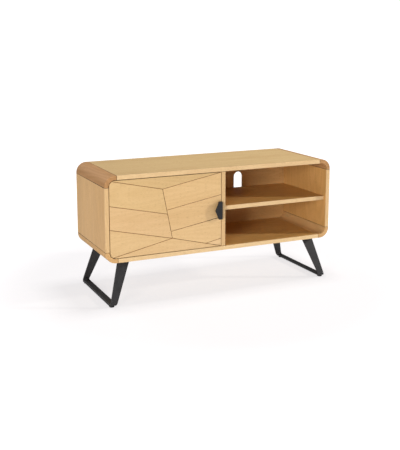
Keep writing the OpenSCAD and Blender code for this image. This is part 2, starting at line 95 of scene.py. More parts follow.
def calc(tree, operation, *values):
    """The result of a math node on the values."""
    return add(tree, "ShaderNodeMath", dict(enumerate(values)), operation=operation).outputs[0]


def noise(tree, place, scale, detail, distortion=0.0):
    """Noise at a place; its scale is features in a metre."""
    return add(tree, "ShaderNodeTexNoise", {
        "Vector": place, "Scale": scale, "Detail": detail, "Distortion": distortion,
    }).outputs["Fac"]


def spread(tree, value, start, end, low=0.0, high=1.0, **settings):
    """The value stretched, so that what ran from start to end runs from low to high."""
    return add(tree, "ShaderNodeMapRange", {
        "Value": value, "From Min": start, "From Max": end, "To Min": low, "To Max": high,
    }, **settings).outputs["Result"]


def blend(tree, share, first, second, **settings):
    """A mix of two colours; share is how much of the second there is."""
    return add(tree, "ShaderNodeMix", {0: share, 6: first, 7: second}, data_type="RGBA",
               **settings).outputs[2]


def linear(hex_colour):
    """An sRGB hex colour as linear RGBA."""
    parts = [int(hex_colour[i:i + 2], 16) / 255 for i in (1, 3, 5)]
    return [c / 12.92 if c <= 0.04045 else ((c + 0.055) / 1.055) ** 2.4 for c in parts] + [1.0]


def new_finish(name, **uniform):
    """A material, its tree, its shader and the place on the piece that each of its points has.
    What is the same all over is set on the shader's own sockets."""
    material = bpy.data.materials.new(name)
    material.use_nodes = True
    tree = material.node_tree
    shader = tree.nodes["Principled BSDF"]
    for socket, value in uniform.items():
        shader.inputs[socket.replace("_", " ")].default_value = value
    return material, tree, shader, add(tree, "ShaderNodeTexCoord").outputs["Object"]


def surface(tree, shader, colour, height, strength, depth, sheen=None):
    """Gives the shader its colour, its fine relief and, where it varies, its roughness."""
    relief = add(tree, "ShaderNodeBump", {"Height": height, "Strength": strength, "Distance": depth})
    tree.links.new(colour, shader.inputs["Base Color"])
    tree.links.new(relief.outputs["Normal"], shader.inputs["Normal"])
    if sheen:
        tree.links.new(sheen, shader.inputs["Roughness"])


# %% [markdown]
# ## Oak
#
# Real oak shows four things at once: broad soft bands where the log's colour changes, growth rings
# that run as long contour lines along the grain, fine streaks, and short dark pores. All four are
# the same solid pattern seen at different scales, so they come from noise in the piece's own space,
# stretched along the grain. A solid pattern also gives end grain on a cut end without more work.
#
# Veneer comes off the log in leaves, and neighbouring leaves are opened like a book, so the pattern
# is mirrored from leaf to leaf. A ping-pong of the coordinate across the grain does exactly that.
#
# True rings are 2 to 4 mm apart. They are drawn about three times as coarse, so that they show
# from across a room, and faint, as under a matt lacquer.

# %% Oak finishes
GRAIN_TURN = {"X": (0, 0, 0), "Y": (0, 0, -math.pi / 2), "Z": (0, math.pi / 2, 0)}
# How fast the rings follow each other where the slow flow of the grain changes.
RING_PHASE = 125.0
# How much the streaks and the leaf's own shade add to the tone, and where it is dark and light.
STREAK_SHARE, LEAF_SHARE, TONE_SPAN = 0.55, 0.16, (0.75, 1.85)
# Where the finest noise turns into a pore, and how strongly a pore is stained.
PORE_SPAN, PORE_STAIN, PORE_COLOUR = (0.60, 0.72), 0.45, "#8a6238"


def oak(name, grain, light, dark, leaf_axis=None, leaf=0.2, shift=0.0, ring_depth=0.13,
        painted_sheen_from=None, roughness=(0.45, 0.6), coat=0.1, gloss=0.45):
    """Lacquered oak. grain is the axis the grain runs along, leaf_axis the one across its leaves."""
    material, tree, shader, place = new_finish(
        name, IOR=1.5, Coat_Weight=coat, Coat_Roughness=0.4, Specular_IOR_Level=gloss)
    along = add(tree, "ShaderNodeMapping", {
        "Vector": place, "Rotation": GRAIN_TURN[grain], "Location": (shift, shift / 2, shift / 3),
    }).outputs["Vector"]
    if leaf_axis:
        parts = add(tree, "ShaderNodeSeparateXYZ", {"Vector": along})
        across = parts.outputs[leaf_axis]
        joined = {axis: parts.outputs[axis] for axis in "XYZ"}
        joined[leaf_axis] = calc(tree, "PINGPONG", across, leaf)
        along = add(tree, "ShaderNodeCombineXYZ", joined).outputs["Vector"]
        leaf_tone = add(tree, "ShaderNodeTexWhiteNoise", {"W": calc(tree, "SNAP", across, leaf)},
                        noise_dimensions="1D").outputs["Value"]

    def stretched(per_metre_along, per_metre_across, detail, distortion=0.0):
        """Noise stretched along the grain; its two scales are features in a metre."""
        scaled = add(tree, "ShaderNodeMapping", {
            "Vector": along, "Scale": (per_metre_along, per_metre_across, per_metre_across),
        }).outputs["Vector"]
        return noise(tree, scaled, 1.0, detail, distortion)

    bands = stretched(1.1, 14, 2)
    flow = stretched(1.3, 7, 1.2, 0.25)
    streaks = stretched(9, 260, 3)
    pores = stretched(60, 1100, 1)
    rings = calc(tree, "SINE", calc(tree, "MULTIPLY", flow, RING_PHASE))
    tone = calc(tree, "ADD", bands, calc(tree, "MULTIPLY_ADD", rings, ring_depth, 0.5))
    tone = calc(tree, "MULTIPLY_ADD", streaks, STREAK_SHARE, tone)
    if leaf_axis:
        tone = calc(tree, "MULTIPLY_ADD", leaf_tone, LEAF_SHARE, tone)
    body = blend(tree, spread(tree, tone, *TONE_SPAN), linear(dark), linear(light))
    pore_mask = spread(tree, pores, *PORE_SPAN, high=PORE_STAIN)
    colour = blend(tree, pore_mask, body, linear(PORE_COLOUR))
    # The tone stored on each face is a painted sheen; it multiplies the colour.
    if painted_sheen_from:
        own = add(tree, "ShaderNodeAttribute", attribute_name=painted_sheen_from).outputs["Color"]
        colour = blend(tree, 1.0, colour, own, blend_type="MULTIPLY")
    height = calc(tree, "MULTIPLY_ADD", pore_mask, -1.0, streaks)
    surface(tree, shader, colour, height, strength=0.25, depth=0.2 * MM,
            sheen=spread(tree, streaks, 0.3, 0.7, *roughness))
    return material


# Straight-grained veneer on the flats: a warm straw colour, silky, with long soft streaks.
oak_flat = oak("oak_veneer_flat", "X", "#cfb27f", "#bb9864", leaf_axis="Y")
oak_upright = oak("oak_veneer_upright", "Z", "#d8af75", "#c2975e", leaf_axis="Y", shift=3.1)
oak_back = oak("oak_veneer_back", "X", "#c79e66", "#a87c46", leaf_axis="Z", leaf=0.15, shift=7.7)
# Inside the bays the veneer takes a redder, more saturated copy of itself: painted shade, the warm
# cast that light takes in the shaded bays.
oak_inner_flat_painted_shade = oak("oak_veneer_inner_flat_painted_shade", "X", "#d7ab67", "#bb8c4b", leaf_axis="Y", shift=1.4)
oak_inner_back_painted_shade = oak("oak_veneer_inner_back_painted_shade", "X", "#e2bb82", "#c69a62", leaf_axis="Z", leaf=0.15,
                     shift=8.1)
oak_inner_upright_painted_shade = oak("oak_veneer_inner_upright_painted_shade", "Z", "#e0b273", "#c29352", leaf_axis="Y",
                        shift=6.2)
# The door's veneer is the warmest; each panel between the grooves gets a painted sheen, a tone that
# stands in for how it catches the light.
oak_door = oak("oak_veneer_door", "X", "#e3c594", "#d0ad7a", leaf_axis="Z", leaf=0.125, shift=5.3,
               ring_depth=0.1, painted_sheen_from="panel_painted_sheen")
# Solid oak strips on the front edges are paler, because they are planed after the veneer is laid.
oak_strip_flat = oak("oak_lipping_flat", "X", "#e8cb9c", "#d2af7f", shift=2.2, ring_depth=0.1)
oak_strip_upright = oak("oak_lipping_upright", "Z", "#dfbf8e", "#caa472", shift=4.6, ring_depth=0.1)
# Corner posts are solid, with the grain along the depth: a deeper brown, with end grain in front.
# They are sanded to their round after assembly, so they are duller than the veneer.
oak_post = oak("oak_solid_post", "Y", "#bd9164", "#a3784b", shift=9.4, ring_depth=0.15,
               roughness=(0.62, 0.75), coat=0.0, gloss=0.25)
# The lower posts come from a paler board.
oak_post_pale = oak("oak_solid_post_pale", "Y", "#d6af7c", "#bf9560", shift=12.7, ring_depth=0.15,
                    roughness=(0.62, 0.75), coat=0.0, gloss=0.25)
print("oak finishes", sum(m.name.startswith("oak") for m in bpy.data.materials))

# %% [markdown]
# ## Cut and bare wood
#
# A cutter leaves the floor of a groove rough, and the lacquer soaks in there, so it turns darker than
# the face; its finish is darker still with painted shade, as the narrow groove lies in shade. The
# thin V between two boards gets a dark finish that is painted shade. The door's own edges face into
# the gap round the door, and their brown finish is painted shade of that gap. A slot through plywood
# shows its plies. Dowels are beech, which is even, pale and flecked with tiny rays.

# %% Groove, seam, door edge, plywood edge and beech
def worked_wood(name, light, dark, scale, roughness):
    """Wood that is not faced: noise stretched by scale, in features in a metre along X, Y and Z."""
    material, tree, shader, place = new_finish(name, IOR=1.5, Roughness=roughness)
    scaled = add(tree, "ShaderNodeMapping", {"Vector": place, "Scale": scale}).outputs["Vector"]
    grain = noise(tree, scaled, 1.0, 2.0)
    colour = blend(tree, spread(tree, grain, 0.35, 0.65), linear(dark), linear(light))
    surface(tree, shader, colour, grain, strength=0.4, depth=0.3 * MM)
    return material


# Milled and lacquer-soaked, and darker still with painted shade of the narrow groove: brown, with the
# cutter's short marks.
groove_stain_and_shade = worked_wood("oak_milled_groove_stain_and_shade", "#976832", "#744c22", (160, 160, 160), 0.7)
# The V between two boards is darker still: painted shade of the narrow V.
seam_painted_shade = worked_wood("oak_seam_painted_shade", "#5f3e20", "#47301a", (160, 160, 160), 0.8)
# The door's edges face into the gap round the door; their brown is painted shade of that gap.
door_edge_painted_shade = worked_wood("oak_door_edge_painted_shade", "#a87c48", "#885f34", (90, 90, 90), 0.65)
# Sawn edge of plywood: plies 1.5 mm thick, light and dark by turns through the board.
ply_edge = worked_wood("plywood_sawn_edge", "#c9a06a", "#7f5a34", (12, 670, 12), 0.75)
# Turned beech: pale and pinkish, with rays about a millimetre long.
beech = worked_wood("beech_turned", "#dcc29a", "#c8a679", (300, 300, 300), 0.6)

# %% [markdown]
# ## Steel, plastic and nylon
#
# Flat bar is powder coated: resin dust is baked to an even film with a faint orange peel. The
# handle has the same coat, smoother and a little blue. Screws are zinc plated, which is a bright
# metal with a soft cloudy mottle from the passivating bath. The catch and the feet are moulded,
# with the fine grain of a spark-eroded mould.

# %% Metal and plastic finishes
def moulded(name, light, dark, grit, depth, roughness, **uniform):
    """An even finish with cloudy tone and a fine grit. grit is its spacing, in metres."""
    material, tree, shader, place = new_finish(name, **uniform)
    cloud = noise(tree, place, 45.0, 3.0)
    grain = noise(tree, place, 1 / grit, 1.0)
    colour = blend(tree, spread(tree, cloud, 0.3, 0.7), linear(dark), linear(light))
    surface(tree, shader, colour, grain, strength=0.3, depth=depth,
            sheen=spread(tree, grain, 0.3, 0.7, *roughness))
    return material


# Matt black powder coat on bar steel: orange peel about 1.2 mm across.
powder_coat = moulded("powder_coated_steel", "#29292c", "#1e1e21", 1.2 * MM, 0.06 * MM, (0.45, 0.6),
                      IOR=1.5)
# Satin black lacquer on the cast handle: tighter, smoother and slightly blue.
satin_coat = moulded("satin_black_handle", "#17181d", "#0f1014", 0.8 * MM, 0.02 * MM, (0.3, 0.4),
                     IOR=1.5)
# Zinc plating: bright, cloudy, a little worn.
zinc = moulded("zinc_plated_steel", "#c3c6c8", "#9a9ea2", 0.6 * MM, 0.02 * MM, (0.28, 0.45),
               Metallic=1.0)
# Black passivated zinc on the pivot pins and the studs of the feet: dark, with the same clouds.
black_zinc = moulded("zinc_plated_black", "#3c3c40", "#29292c", 0.6 * MM, 0.02 * MM, (0.4, 0.55),
                     Metallic=1.0)
# Sintered ferrite: dark, dull and slightly sparkling.
ferrite = moulded("sintered_magnet", "#55565a", "#3c3d41", 0.5 * MM, 0.03 * MM, (0.5, 0.65),
                  IOR=1.8)
# Moulded ABS and polyethylene: black with a fine spark grain.
black_plastic = moulded("abs_moulded_black", "#26262a", "#19191c", 0.5 * MM, 0.04 * MM,
                        (0.45, 0.58), IOR=1.53)
# Moulded nylon: grey, waxy, slightly see-through at its thin edges.
grey_nylon = moulded("nylon_moulded_grey", "#97978f", "#82827c", 0.5 * MM, 0.02 * MM, (0.38, 0.5),
                     IOR=1.53)
print("finishes", len(bpy.data.materials))

# %% [markdown]
# ## The case: boards with worked edges
#
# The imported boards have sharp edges, and real ones never do: a joiner breaks each edge with a small
# round, called an arris, and leaves a fine V where a board meets a corner post. Light catches on
# both, so they matter more to the eye than their size. A bevel on every edge would also cut the
# flush joints between veneer and lipping, so each board names the edges that are worked: "y-z+" is
# where its front face meets its top face.

# %% Take a board from the model and work its edges
# Two corners this close lie on the same side of a box.
TOUCH = 0.02 * MM
# Faces are shaded as one up to the first angle. Edges beyond the second are worked.
SMOOTH_UP_TO, SHARP_FROM = math.radians(50), math.radians(30)
ARRIS, SEAM, DOOR_ARRIS, SAWN_ARRIS = 0.6 * MM, 1.7 * MM, 0.5 * MM, 0.4 * MM


def merged(node):
    """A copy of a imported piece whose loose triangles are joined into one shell."""
    shell = bmesh.new()
    shell.from_mesh(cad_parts[node].data)
    bmesh.ops.remove_doubles(shell, verts=shell.verts, dist=0.001 * MM)
    bmesh.ops.dissolve_degenerate(shell, edges=shell.edges, dist=0.001 * MM)
    return shell


def put(name, shell, *finishes):
    """The shell as an object at the origin, with its finishes. Round parts are smooth, and where a
    small round meets a big flat face, the flat face keeps its own normal, so that it stays flat."""
    mesh = bpy.data.meshes.new(name)
    shell.to_mesh(mesh)
    shell.free()
    for finish in finishes:
        mesh.materials.append(finish)
    mesh.shade_smooth()
    mesh.set_sharp_from_angle(angle=SMOOTH_UP_TO)
    piece = bpy.data.objects.new(name, mesh)
    bpy.context.scene.collection.objects.link(piece)
    flatten = piece.modifiers.new("flatten", "WEIGHTED_NORMAL")
    flatten.keep_sharp = True
    ready = piece.evaluated_get(bpy.context.evaluated_depsgraph_get())
    piece.data = bpy.data.meshes.new_from_object(ready)
    piece.modifiers.clear()
    bpy.data.meshes.remove(mesh)
    piece.data.name = name
    return piece


def settle(piece, body, slot, *nodes):
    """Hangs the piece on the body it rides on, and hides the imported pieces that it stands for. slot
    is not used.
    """
    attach(piece, body)
    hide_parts(*nodes)
    return piece


def on_face(edge, side, low, high):
    """True if both ends of the edge lie on the named side of the box, such as "x-"."""
    axis = "xyz".index(side[0])
    level = (high if side[1] == "+" else low)[axis]
    return all(abs(v.co[axis] - level) < TOUCH for v in edge.verts)


def sharp(edge):
    """True if the two faces of the edge meet at a clear angle."""
    return len(edge.link_faces) == 2 and edge.calc_face_angle(0) > SHARP_FROM


def work_edges(shell, edges, width, finish=-1):
    """Rounds the edges off. finish is the slot of the material that the new faces take."""
    bmesh.ops.bevel(shell, geom=edges, offset=width, segments=2, profile=0.6, affect="EDGES",
                    clamp_overlap=True, material=finish, loop_slide=False)


def board(node, finish, arrises=(), seams=(), slot="oak_veneer", inner=(), inner_finish=None):
    """A board of the case, with its arrises rounded and a V along its seams whose dark finish is
    painted shade. The sides that inner names face into the case, and take inner_finish."""
    low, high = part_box(node)
    shell = merged(node)
    for sides, width, slot_number in ((seams, SEAM, 1), (arrises, ARRIS, 0)):
        edges = [
            e for e in shell.edges
            if sharp(e) and any(
                all(on_face(e, pair[i:i + 2], low, high) for i in range(0, len(pair), 2))
                for pair in sides
            )
        ]
        if edges:
            work_edges(shell, edges, width, slot_number)
    finishes = [finish, seam_painted_shade]
    # Faces into the case take inner_finish, the copy of the veneer whose redder tone is painted
    # shade.
    if inner:
        finishes.append(inner_finish)
        for face in shell.faces:
            if any(all(on_face(e, side, low, high) for e in face.edges) for side in inner):
                face.material_index = 2
    piece = put(node.replace("_", " ").title().replace(" ", "_"), shell, *finishes)
    return settle(piece, "cabinet", slot, node)


# %% The boards
END_SEAMS = ["x-z+", "x+z+", "x-z-", "x+z-"]
boards = [
    board("top_panel", oak_flat, ["y+z+", "y+z-"], END_SEAMS, "oak_veneer", ["z-"], oak_inner_flat_painted_shade),
    board("bottom_panel", oak_flat, ["y+z+", "y+z-"], END_SEAMS, "oak_veneer", ["z+"],
          oak_inner_flat_painted_shade),
    board("left_side_panel", oak_upright, ["y+x-", "y+x+"], END_SEAMS, "oak_veneer", ["x+"],
          oak_inner_upright_painted_shade),
    board("right_side_panel", oak_upright, ["y+x-", "y+x+"], END_SEAMS, "oak_veneer", ["x-"],
          oak_inner_upright_painted_shade),
    board("centre_divider", oak_upright, inner=["x-", "x+"], inner_finish=oak_inner_upright_painted_shade),
    board("shelf", oak_flat, ["y+z+", "y+z-"], inner=["z-", "z+"], inner_finish=oak_inner_flat_painted_shade),
]
for place in ("top", "bottom"):
    boards.append(board(f"{place}_lipping", oak_strip_flat, ["y-z+", "y-z-"], ["x-y-", "x+y-"],
                        "oak_lipping"))
for place in ("left", "right", "divider"):
    boards.append(board(f"{place}_lipping", oak_strip_upright, ["y-x+", "y-x-"],
                        ["z-y-", "z+y-"], "oak_lipping"))
boards.append(board("shelf_lipping", oak_strip_flat, ["y-z+", "y-z-"], (), "oak_lipping"))
for side, seam_sides in (
    ("top_left", ["x+z+", "z-x-"]), ("top_right", ["x-z+", "z-x+"]),
    ("bottom_left", ["x+z-", "z+x-"]), ("bottom_right", ["x-z-", "z+x+"]),
):
    post_finish = oak_post_pale if side.startswith("bottom") else oak_post
    boards.append(board(f"{side}_post", post_finish, ["y-", "y+"], seam_sides, "oak_post"))
print("boards", len(boards), "faces", sum(len(b.data.polygons) for b in boards))

# %% [markdown]
# ## The back panel
#
# The back is thin veneered plywood that slides in a groove. Only its cable slot shows an edge, and
# there the plies show, so the faces inside the slot take their own finish.

# %% The back panel and its cable slot
# Only the slot's walls are further in from the panel's rim than this.
SLOT_INSET = 30 * MM


def back_board():
    """The back panel: veneer on both faces, and sawn plies round the slot."""
    low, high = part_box("back_panel")
    shell = merged("back_panel")
    # Faces in the slot take the sawn plies; the front face looks into the bays and takes the copy of
    # the veneer whose redder tone is painted shade.
    for face in shell.faces:
        centre = face.calc_center_median()
        in_slot = all(low[a] + SLOT_INSET < centre[a] < high[a] - SLOT_INSET for a in (0, 2))
        if in_slot and abs(face.normal.y) < 0.5:
            face.material_index = 1
        elif face.normal.y < -0.5:
            face.material_index = 2
    edges = [e for e in shell.edges
             if sharp(e) and 1 in {f.material_index for f in e.link_faces}
             and len({f.material_index for f in e.link_faces}) > 1]
    work_edges(shell, edges, SAWN_ARRIS, 1)
    piece = put("Back_Panel", shell, oak_back, ply_edge, oak_inner_back_painted_shade)
    return settle(piece, "cabinet", "oak_back", "back_panel")


back = back_board()
print("back panel", len(back.data.polygons), "faces")

# %% [markdown]
# ## The door
#
# The grooves divide the door's face into nine panels round two knots. Each panel of the veneer
# catches the light a little differently, which a flat sheet of one colour would not do, and that is
# painted: every face of the door stores a painted sheen, the tone of the panel it lies in, and the
# door's finish multiplies its colour by that tone. The panels are found from the same knots and
# branches that the grooves follow, and faces that lie below the front are the groove walls.

# %% The panels between the grooves
door_low, door_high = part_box("door_panel")
DOOR_W, DOOR_H = door_high.x - door_low.x, door_high.z - door_low.z
GROOVE_DEPTH = 2.5 * MM
# Where branches leave the spine, as shares of its length from the high knot to the low one, and
# where the last one leaves the branch that runs from the low knot to the door's lower right corner.
LEFT_SHARE, RIGHT_HIGH_SHARE, RIGHT_MID_SHARE, RIGHT_LOW_SHARE = 0.505, 0.425, 0.86, 0.68


def on_door(x, z):
    """A place on the door from its lower left corner, in millimetres, as a point in the frame."""
    return Vector((door_low.x + x * MM, door_low.z + z * MM))


top_left, top_right = on_door(0, DOOR_H / MM), on_door(DOOR_W / MM, DOOR_H / MM)
foot_left, foot_right = on_door(0, 0), on_door(DOOR_W / MM, 0)
knot_high, knot_low = on_door(237, DOOR_H / MM - 52), on_door(281, 59)
left_high, left_low = on_door(0, DOOR_H / MM - 106), on_door(0, 123)
right_high = on_door(DOOR_W / MM, DOOR_H / MM - 99)
right_mid, right_low = on_door(DOOR_W / MM, 130), on_door(DOOR_W / MM, 34)
spine_left = knot_high.lerp(knot_low, LEFT_SHARE)
spine_high = knot_high.lerp(knot_low, RIGHT_HIGH_SHARE)
spine_mid = knot_high.lerp(knot_low, RIGHT_MID_SHARE)
branch_low = knot_low.lerp(foot_right, RIGHT_LOW_SHARE)
# Each panel's outline, and its painted sheen: a tone that stands in for how the panel catches the
# light.
PANELS = {
    "top": ([knot_high, top_right, top_left], "#f2f0e8"),
    "left_high": ([knot_high, top_left, left_high, spine_left], "#f8f6f0"),
    "left_mid": ([spine_left, left_high, left_low, knot_low], "#faf6f6"),
    "left_low": ([knot_low, left_low, foot_left], "#f8f5f2"),
    "bottom": ([knot_low, foot_left, foot_right], "#f9f5f3"),
    "right_corner": ([branch_low, foot_right, right_low], "#fffcff"),
    "right_low": ([knot_low, branch_low, right_low, right_mid, spine_mid], "#fdfaf8"),
    "right_mid": ([spine_mid, right_mid, right_high, spine_high], "#fbf7f4"),
    "right_high": ([spine_high, right_high, top_right, knot_high], "#fcf8f3"),
}


def inside(point, outline):
    """True if the point lies in the outline, counted by the outline's sides to its right."""
    hits = 0
    for a, b in zip(outline, outline[1:] + outline[:1]):
        if (a.y > point.y) != (b.y > point.y):
            hits += point.x < a.x + (point.y - a.y) * (b.x - a.x) / (b.y - a.y)
    return hits % 2 == 1


# %% The door's leaf
DOOR_CORNER = 25 * MM
DOOR_MIDDLE_Z = (door_low.z + door_high.z) / 2
# How far a groove's wall may be off its depth, how far it keeps from the door's edge, and how far
# a point may be off the corner's round.
SKIN, CLEAR, OFF_ROUND = 0.05 * MM, 1 * MM, 0.5 * MM


def on_corner(point):
    """True if the point lies on one of the two round corners at the door's left."""
    near = DOOR_CORNER + CLEAR
    if point.x > door_low.x + near or abs(point.z - DOOR_MIDDLE_Z) < DOOR_H / 2 - near:
        return False
    above = point.z > DOOR_MIDDLE_Z
    centre_z = door_high.z - DOOR_CORNER if above else door_low.z + DOOR_CORNER
    away = Vector((point.x - door_low.x - DOOR_CORNER, point.z - centre_z)).length
    return abs(away - DOOR_CORNER) < OFF_ROUND


def outer(edge):
    """True on the door's outline, at its front or back."""
    level = any(on_face(edge, side, door_low, door_high) for side in ("y-", "y+"))
    rim = any(on_face(edge, side, door_low, door_high) for side in ("x-", "x+", "z-", "z+"))
    return level and (rim or on_corner((edge.verts[0].co + edge.verts[1].co) / 2))


def door_leaf():
    """The door: panels with a painted sheen, groove walls darkened by stain and painted shade, edges
    darkened by painted shade, and rounded outer edges.
    """
    shell = merged("door_panel")
    work_edges(shell, [e for e in shell.edges if sharp(e) and outer(e)], DOOR_ARRIS)
    for face in shell.faces:
        middle = face.calc_center_median()
        sunk = SKIN < middle.y - door_low.y < GROOVE_DEPTH + SKIN
        within = (door_low.x + CLEAR < middle.x < door_high.x - CLEAR
                  and door_low.z + CLEAR < middle.z < door_high.z - CLEAR)
        # Groove walls and floors take the darker finish, partly stain and partly painted shade.
        if sunk and within and (abs(face.normal.y) > 0.9 or abs(face.normal.y) < 0.1):
            face.material_index = 1
        # The door's edges take the brown finish that is painted shade of the gap round the door.
        elif not within and abs(face.normal.y) < 0.1:
            face.material_index = 2
    # Each face stores the painted sheen of its panel.
    panel_sheen_layer = shell.loops.layers.float_color.new("panel_painted_sheen")
    counts = dict.fromkeys(PANELS, 0)
    for face in shell.faces:
        middle = face.calc_center_median()
        place = Vector((middle.x, middle.z))
        found = [n for n, (outline, _) in PANELS.items() if inside(place, outline)]
        # A middle that lies on a line between two panels counts as the low one at the right.
        name = found[0] if found else "right_low"
        counts[name] += 1
        for loop in face.loops:
            loop[panel_sheen_layer] = linear(PANELS[name][1])
    print("door panels", counts)
    piece = put("Door_Leaf", shell, oak_door, groove_stain_and_shade, door_edge_painted_shade)
    return settle(piece, "door", "oak_door", "door_panel")


leaf = door_leaf()
print("door", len(leaf.data.polygons), "faces")

# %% [markdown]
# ## The handle, the plates and the catch
#
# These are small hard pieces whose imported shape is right. They only need the soft edges that a
# casting, a deburred plate or a moulding has, so every sharp edge of a copy is rounded.

# %% Small hard pieces with every edge rounded
def softened(name, node, body, slot, finish, width):
    """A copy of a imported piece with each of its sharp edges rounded."""
    shell = merged(node)
    work_edges(shell, [e for e in shell.edges if sharp(e)], width)
    return settle(put(name, shell, finish), body, slot, node)


hard = [
    softened("Door_Handle", "door_handle", "door", "black_handle", satin_coat, 0.8 * MM),
    softened("Catch_Housing", "catch_housing", "cabinet", "black_plastic", black_plastic, 0.5 * MM),
    softened("Catch_Magnet", "catch_magnet", "cabinet", "magnet_steel", ferrite, 0.25 * MM),
    softened("Strike_Plate", "strike_plate", "door", "zinc_steel", zinc, 0.25 * MM),
]
for place in ("left_front", "left_back", "right_front", "right_back"):
    hard.append(softened(f"{place.title()}_Mounting_Plate", f"{place}_plate", "cabinet",
                         "black_steel", powder_coat, 0.5 * MM))
print("hard pieces", len(hard))

# %% [markdown]
# ## Geometry Nodes for what follows a rule
#
# A tree of geometry nodes is a recipe with named sizes. It is built here in the script, run once on
# a small base mesh, and its result is kept as a plain mesh, so nothing is left to compute later.
# Each recipe ends by making its instances real and giving them their finish.

# %% Start a recipe, run a recipe
SOCKET_OF = {"float": "NodeSocketFloat", "object": "NodeSocketObject",
             "material": "NodeSocketMaterial"}


def new_recipe(name, **kinds):
    """A geometry tree with a Geometry input and the named inputs; returns it and its inputs."""
    tree = bpy.data.node_groups.new(name, "GeometryNodeTree")
    tree.interface.new_socket("Geometry", in_out="INPUT", socket_type="NodeSocketGeometry")
    for label, kind in kinds.items():
        tree.interface.new_socket(label, in_out="INPUT", socket_type=SOCKET_OF[kind])
    tree.interface.new_socket("Geometry", in_out="OUTPUT", socket_type="NodeSocketGeometry")
    return tree, add(tree, "NodeGroupInput").outputs


def end_recipe(tree, geometry, finish):
    """Makes instances real, sets the finish, and hands the geometry out."""
    real = add(tree, "GeometryNodeRealizeInstances", {"Geometry": geometry}).outputs["Geometry"]
    done = add(tree, "GeometryNodeSetMaterial", {"Geometry": real, "Material": finish})
    add(tree, "NodeGroupOutput", {0: done.outputs["Geometry"]})


def base_mesh(points, edges=(), axes=None):
    """A mesh object of points and edges for a recipe to work on; axes gives each point a way."""
    mesh = bpy.data.meshes.new("base")
    mesh.from_pydata([tuple(p) for p in points], edges, [])
    if axes:
        ways = mesh.attributes.new("axis", "FLOAT_VECTOR", "POINT")
        ways.data.foreach_set("vector", [c for axis in axes for c in axis])
    base = bpy.data.objects.new("base", mesh)
    bpy.context.scene.collection.objects.link(base)
    return base


def run_recipe(name, base, tree, **values):
    """The recipe's result on the base as a new plain mesh object; the base is used up."""
    modifier = base.modifiers.new("recipe", "NODES")
    modifier.node_group = tree
    for item in tree.interface.items_tree:
        if item.in_out == "INPUT" and item.name in values:
            modifier[item.identifier] = values[item.name]
    base.update_tag()
    bpy.context.view_layer.update()
    ready = base.evaluated_get(bpy.context.evaluated_depsgraph_get())
    mesh = bpy.data.meshes.new_from_object(ready)
    bpy.data.objects.remove(base)
    shell = bmesh.new()
    shell.from_mesh(mesh)
    bmesh.ops.remove_doubles(shell, verts=shell.verts, dist=0.002 * MM)
    bmesh.ops.recalc_face_normals(shell, faces=shell.faces)
    piece = put(name, shell, *mesh.materials)
    bpy.data.meshes.remove(mesh)
    return piece


# %% [markdown]
# ## The leg frames
#
# Each end stands on one flat bar, 8 mm thick, bent to a splayed U that is open at the top. The bar
# is cut from sheet before it is bent, so it is wide under the case and narrow at the floor, and its
# edges slant. Swept along a path, a bar has the same width everywhere, so the recipe first sweeps
# the narrow section and then widens it: the width and the middle of the bar depend only on the
# height above the floor. Last, the ends are cut level where they meet the plates.

# %% The recipe for a bent bar
def bent_bar_recipe():
    """Sweeps a bar along the base's edges, bends it, leans it and cuts it level."""
    tree, given = new_recipe(
        "bent_bar", **{label: "float" for label in (
            "Thickness", "Edge Radius", "Bend Radius", "Foot Width", "Top Width", "Foot Middle",
            "Top Middle", "Height", "Level", "Lean", "Depth Middle")},
        Holes="object", Finish="material")
    math_node = partial(calc, tree)
    line = add(tree, "GeometryNodeMeshToCurve", {"Mesh": given["Geometry"]}).outputs["Curve"]
    bent = add(tree, "GeometryNodeFilletCurve", {
        "Curve": line, "Count": 14, "Radius": given["Bend Radius"],
    }, mode="POLY").outputs["Curve"]
    section = add(tree, "GeometryNodeCurvePrimitiveQuadrilateral", {
        "Width": given["Foot Width"], "Height": given["Thickness"],
    }).outputs["Curve"]
    eased = add(tree, "GeometryNodeFilletCurve", {
        "Curve": section, "Count": 3, "Radius": given["Edge Radius"],
    }, mode="POLY").outputs["Curve"]
    bar = add(tree, "GeometryNodeCurveToMesh", {
        "Curve": bent, "Profile Curve": eased, "Fill Caps": True,
    }).outputs["Mesh"]
    place = add(tree, "ShaderNodeSeparateXYZ", {
        "Vector": add(tree, "GeometryNodeInputPosition").outputs["Position"],
    }).outputs
    above = math_node("MAXIMUM", math_node("SUBTRACT", place["Z"], given["Level"]), 0.0)
    z = math_node("SUBTRACT", place["Z"], above)
    end = math_node("SIGN", math_node("SUBTRACT", given["Depth Middle"], place["Y"]))
    slide = math_node("MULTIPLY", math_node("MULTIPLY", above, given["Lean"]), end)
    y = math_node("SUBTRACT", place["Y"], slide)
    share = math_node("DIVIDE", z, given["Height"])
    span = math_node("SUBTRACT", given["Top Middle"], given["Foot Middle"])
    middle = math_node("MULTIPLY_ADD", share, span, given["Foot Middle"])
    wider = math_node("DIVIDE", math_node("SUBTRACT", given["Top Width"], given["Foot Width"]), 2.0)
    growth = math_node("MULTIPLY", math_node("MULTIPLY", share, wider),
                       math_node("SIGN", place["X"]))
    x = math_node("ADD", math_node("ADD", place["X"], growth), middle)
    leaning = add(tree, "GeometryNodeSetPosition", {
        "Geometry": bar,
        "Position": add(tree, "ShaderNodeCombineXYZ", {"X": x, "Y": y, "Z": z}).outputs["Vector"],
    }).outputs["Geometry"]
    cutters = add(tree, "GeometryNodeObjectInfo", {"Object": given["Holes"]}).outputs["Geometry"]
    drilled = add(tree, "GeometryNodeMeshBoolean", {"Mesh 1": leaning, "Mesh 2": cutters},
                  operation="DIFFERENCE").outputs["Mesh"]
    end_recipe(tree, drilled, given["Finish"])
    return tree


